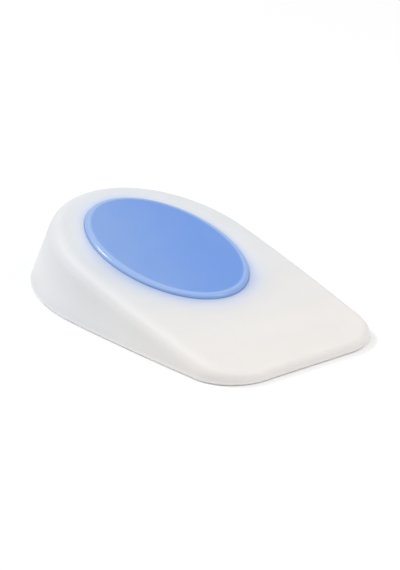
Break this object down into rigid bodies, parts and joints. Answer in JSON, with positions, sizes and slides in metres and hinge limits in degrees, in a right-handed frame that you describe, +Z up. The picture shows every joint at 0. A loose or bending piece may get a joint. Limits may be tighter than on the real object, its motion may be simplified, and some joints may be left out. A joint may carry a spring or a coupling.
{
  "type": "heel cup",
  "caption": "Moulded silicone heel cup with a flat sole, drafted walls that rise round the heel, an open heel hollow and a soft oval gel core set into the underside, lying on its rim",
  "frame": {"origin": "middle of the bounding box on the surface that the cup's rim lies on", "axes": "+X towards the front edge under the arch, +Y across the cup, +Z up; the cup lies on its rim with its sole facing up"},
  "size_m": [0.1066, 0.0622, 0.0213],
  "materials": {
    "silicone": "satin, milky and slightly translucent",
    "gel": "smooth satin"
  },
  "bodies": {
    "root": {"heel_cup_body": "silicone", "gel_core": "gel"}
  },
  "joints": []
}
